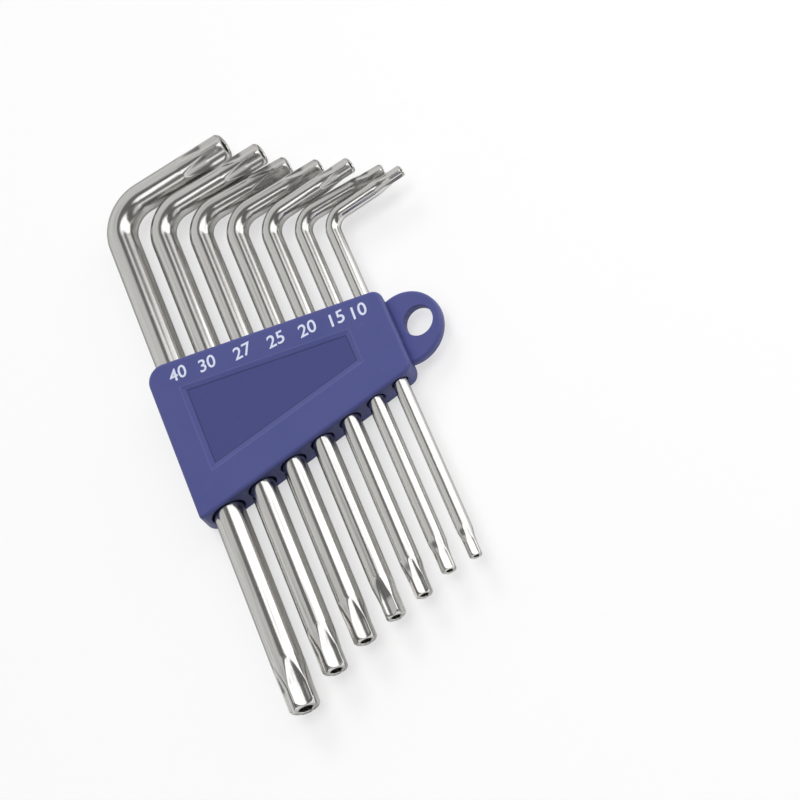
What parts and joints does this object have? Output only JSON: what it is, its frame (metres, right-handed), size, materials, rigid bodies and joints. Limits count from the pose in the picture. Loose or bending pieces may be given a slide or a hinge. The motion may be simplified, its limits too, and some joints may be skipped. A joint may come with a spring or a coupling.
{
  "type": "star key set",
  "caption": "L-shaped star keys with drilled security tips, nested in size order in a moulded wedge holder with a hang eye; each key slides up out of its hole.",
  "frame": {"origin": "middle of the holder's flat back, halfway along the row of keys", "axes": "+X along the row from the largest to the smallest key, +Y from the long tips to the bends, +Z out of the holder's front"},
  "size_m": [0.0692, 0.1254, 0.0101],
  "materials": {
    "holder_plastic": "violet-blue moulded plastic, fine satin",
    "key_steel": "satin nickel-plated steel"
  },
  "bodies": {
    "holder": {"holder": "holder_plastic"},
    "key_40": {"key_40": "key_steel"},
    "key_30": {"key_30": "key_steel"},
    "key_27": {"key_27": "key_steel"},
    "key_25": {"key_25": "key_steel"},
    "key_20": {"key_20": "key_steel"},
    "key_15": {"key_15": "key_steel"},
    "key_10": {"key_10": "key_steel"}
  },
  "joints": [
    {"name": "key_10_slide", "type": "slide", "parent": "holder", "child": "key_10", "axis": [0, 1, 0], "range_m": [0, 0.063]},
    {"name": "key_15_slide", "type": "slide", "parent": "key_10", "child": "key_15", "axis": [0, 1, 0], "range_m": [0, 0.064]},
    {"name": "key_20_slide", "type": "slide", "parent": "key_15", "child": "key_20", "axis": [0, 1, 0], "range_m": [0, 0.067]},
    {"name": "key_25_slide", "type": "slide", "parent": "key_20", "child": "key_25", "axis": [0, 1, 0], "range_m": [0, 0.07]},
    {"name": "key_27_slide", "type": "slide", "parent": "key_25", "child": "key_27", "axis": [0, 1, 0], "range_m": [0, 0.072]},
    {"name": "key_30_slide", "type": "slide", "parent": "key_27", "child": "key_30", "axis": [0, 1, 0], "range_m": [0, 0.076]},
    {"name": "key_40_slide", "type": "slide", "parent": "key_30", "child": "key_40", "axis": [0, 1, 0], "range_m": [0, 0.082]}
  ]
}
